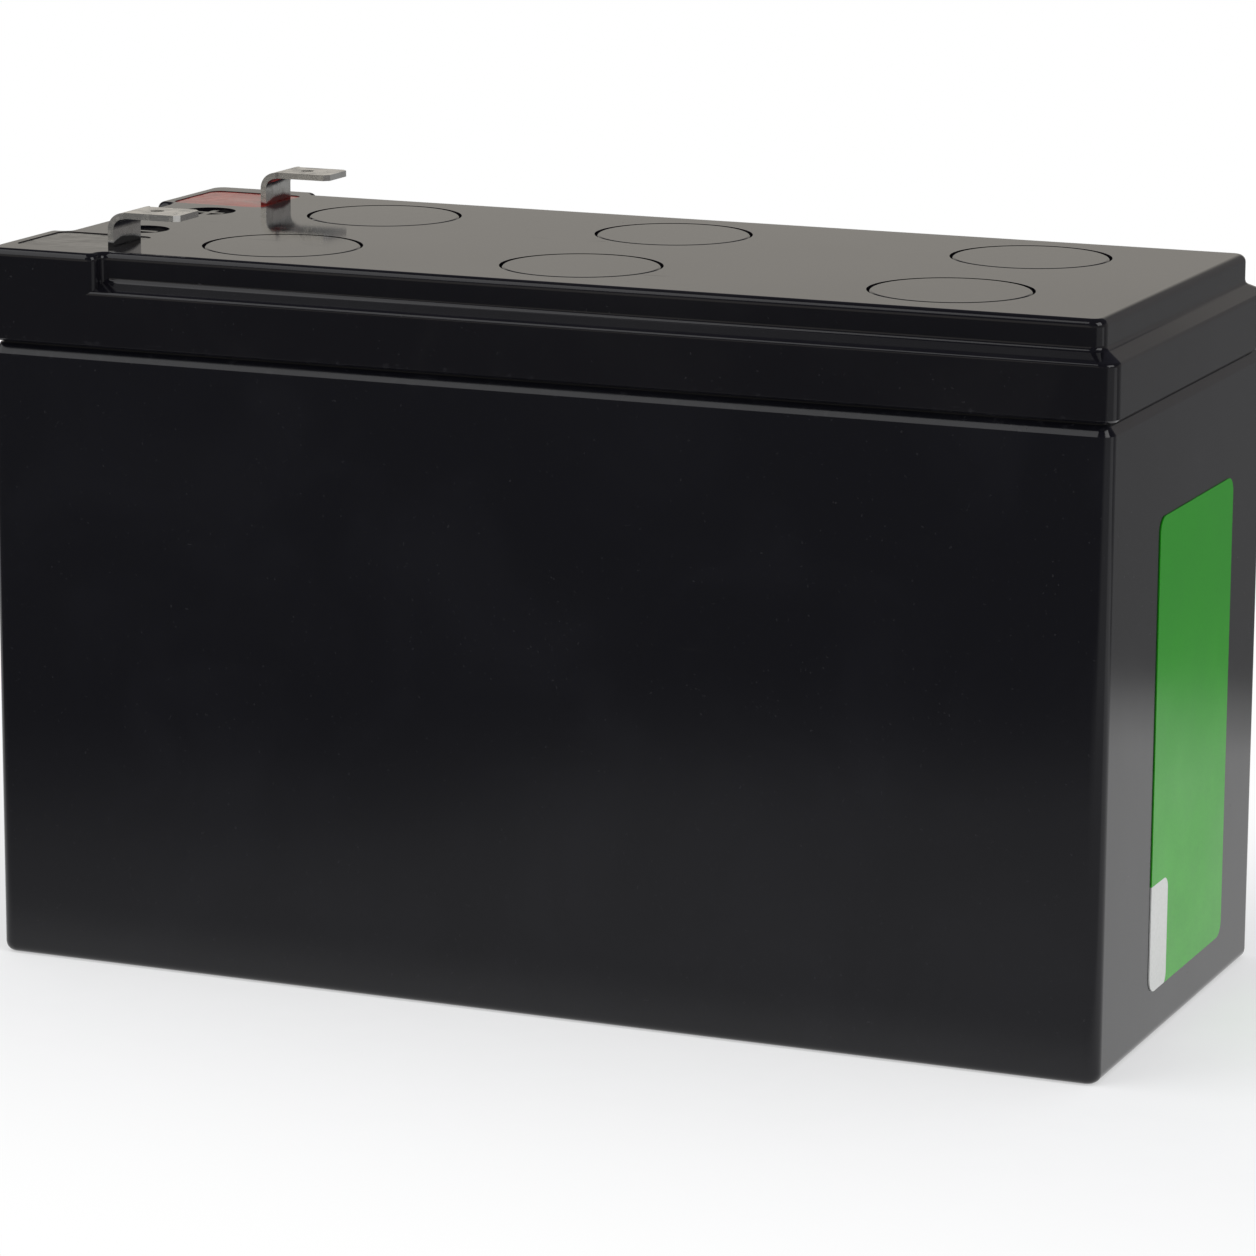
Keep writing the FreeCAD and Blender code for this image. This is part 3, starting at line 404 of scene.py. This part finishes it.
def dress_cells():
    negative = cast_lead("negative_plate", dark=(0.16, 0.17, 0.18), pale=(0.30, 0.31, 0.32), metallic=0.6)
    positive = cast_lead("positive_plate", dark=(0.055, 0.030, 0.020), pale=(0.11, 0.065, 0.045),
                         metallic=0.0)
    dress(numbered("vent_valve"), rubber("valve_rubber"))
    dress(numbered("negative_plates"), negative)
    dress(numbered("positive_plates"), positive)
    dress(numbered("separators"), glass_mat("glass_mat"))


def make_camera():
    """The view, with no shift."""
    forward = Vector((-math.sin(CAMERA_YAW) * math.cos(CAMERA_PITCH),
                      math.cos(CAMERA_YAW) * math.cos(CAMERA_PITCH),
                      math.sin(CAMERA_PITCH)))
    level_right = Vector((math.cos(CAMERA_YAW), math.sin(CAMERA_YAW), 0.0))
    level_up = level_right.cross(forward)
    right = level_right * math.cos(CAMERA_ROLL) + level_up * math.sin(CAMERA_ROLL)
    up = level_up * math.cos(CAMERA_ROLL) - level_right * math.sin(CAMERA_ROLL)
    data = bpy.data.cameras.new("photo_camera")
    data.sensor_fit = "HORIZONTAL"
    data.sensor_width = SENSOR_WIDTH
    data.lens = FOCAL_PIXELS / IMAGE_SIDE * SENSOR_WIDTH
    data.clip_start = CAMERA_CLIP
    camera = bpy.data.objects.new("photo_camera", data)
    turn = Matrix((right, up, -forward)).transposed()
    camera.matrix_world = Matrix.Translation(CAMERA_PLACE) @ turn.to_4x4()
    bpy.context.scene.collection.objects.link(camera)
    bpy.context.scene.camera = camera


def mirrored_floor(graph):
    """How bright the studio floor shows in gloss: pale beside and behind the battery, dark far in front.

    The bright part ends in a soft, uneven line, which climbs along the long side to the label's end.
    """
    along = graph.axis("X")
    across = graph.axis("Y")
    waves = graph.fade(graph.noise(9.0), 0.2, 0.8, -0.03, 0.03)
    ahead = graph.math("ADD", graph.math("MULTIPLY", across, -1.0), waves)
    slope = graph.math("ADD", ahead, graph.math("MULTIPLY", along, -0.60))
    front = graph.fade(slope, 0.08, 0.24, 0.44, 0.10)
    beside = graph.fade(graph.math("ADD", across, waves), 0.115, 0.175, 0.75, 0.22)
    return graph.fade(across, -0.060, -0.030, front, beside)


def floor_material():
    """Pale near the battery, where it keeps the shadow, white further off, and toned in gloss."""
    material = bpy.data.materials.new("floor")
    graph = Graph(material)
    past_end = graph.math("SUBTRACT", graph.math("ABSOLUTE", graph.axis("X")), CAD_BOX[1][0])
    past_side = graph.math("SUBTRACT", graph.math("ABSOLUTE", graph.axis("Y")), CAD_BOX[1][1])
    off = graph.math("MAXIMUM", past_end, past_side)
    far = graph.fade(off, 0.0, WHITE_DISTANCE, WHITE_AT_FOOT, 1.0)
    tone = graph.blend(graph.noise(160.0, detail=3.0), rgb(0.91, 0.91, 0.91), rgb(0.94, 0.94, 0.94))
    pale = graph.add("ShaderNodeBsdfDiffuse", {"Color": tone}).outputs[0]
    white = graph.add("ShaderNodeEmission", {"Color": rgb(1.0, 1.0, 1.0)}).outputs[0]
    mirrored = graph.add("ShaderNodeEmission", {"Strength": mirrored_floor(graph)}).outputs[0]
    path = graph.add("ShaderNodeLightPath").outputs
    seen = graph.math("MAXIMUM", path["Is Camera Ray"], path["Is Transmission Ray"])
    whitened = graph.math("MULTIPLY", far, seen)
    plain = graph.add("ShaderNodeMixShader", {0: whitened, 1: pale, 2: white}).outputs[0]
    mixed = graph.add("ShaderNodeMixShader", {0: path["Is Glossy Ray"], 1: plain, 2: mirrored}).outputs[0]
    graph.add("ShaderNodeOutputMaterial", {"Surface": mixed})
    return material


def make_floor():
    side = FLOOR_HALF_SIDE
    corners = [(-side, -side, 0.0), (side, -side, 0.0), (side, side, 0.0), (-side, side, 0.0)]
    mesh = bpy.data.meshes.new("floor")
    mesh.from_pydata(corners, [], [(0, 1, 2, 3)])
    mesh.materials.append(floor_material())
    floor = bpy.data.objects.new("floor", mesh)
    bpy.context.scene.collection.objects.link(floor)


def make_world():
    """White where it is seen, a toned studio in gloss, and an even plain light on the battery."""
    world = bpy.data.worlds.new("studio")
    graph = Graph(world)
    direction = graph.add("ShaderNodeTexCoord").outputs["Generated"]
    toward_label = graph.fade(graph.axis("X", direction), -0.15, 0.25, 0.0, 0.6)
    low = graph.blend(toward_label, rgb(*STUDIO_LOW), rgb(*STUDIO_BY_LABEL))
    studio = graph.blend(graph.fade(graph.axis("Z", direction), 0.24, 0.42), low, rgb(*STUDIO_HIGH))
    path = graph.add("ShaderNodeLightPath").outputs
    surround = graph.blend(path["Is Camera Ray"], studio, rgb(1.0, 1.0, 1.0))
    seen = graph.math("MAXIMUM", path["Is Camera Ray"], path["Is Glossy Ray"])
    seen = graph.math("MAXIMUM", seen, path["Is Transmission Ray"])
    light = graph.blend(seen, rgb(*PLAIN_LIGHT), surround)
    background = graph.add("ShaderNodeBackground", {"Color": light, "Strength": 1.0})
    graph.add("ShaderNodeOutputWorld", {"Surface": background.outputs[0]})
    bpy.context.scene.world = world


def make_lamps():
    for name, place, side, power in LAMPS:
        data = bpy.data.lights.new(name, "AREA")
        data.shape = "RECTANGLE"
        data.size = side
        data.size_y = side
        data.energy = power
        lamp = bpy.data.objects.new(name, data)
        lamp.location = Vector(place)
        aim = Vector(LAMP_TARGET) - Vector(place)
        lamp.rotation_euler = aim.to_track_quat("-Z", "Y").to_euler()
        bpy.context.scene.collection.objects.link(lamp)


bpy.context.scene.view_settings.view_transform = "Standard"
dress_plastics()
dress_terminals()
dress_cells()
dress(["end_label"], green_label("label"))
make_camera()
make_floor()
make_world()
make_lamps()
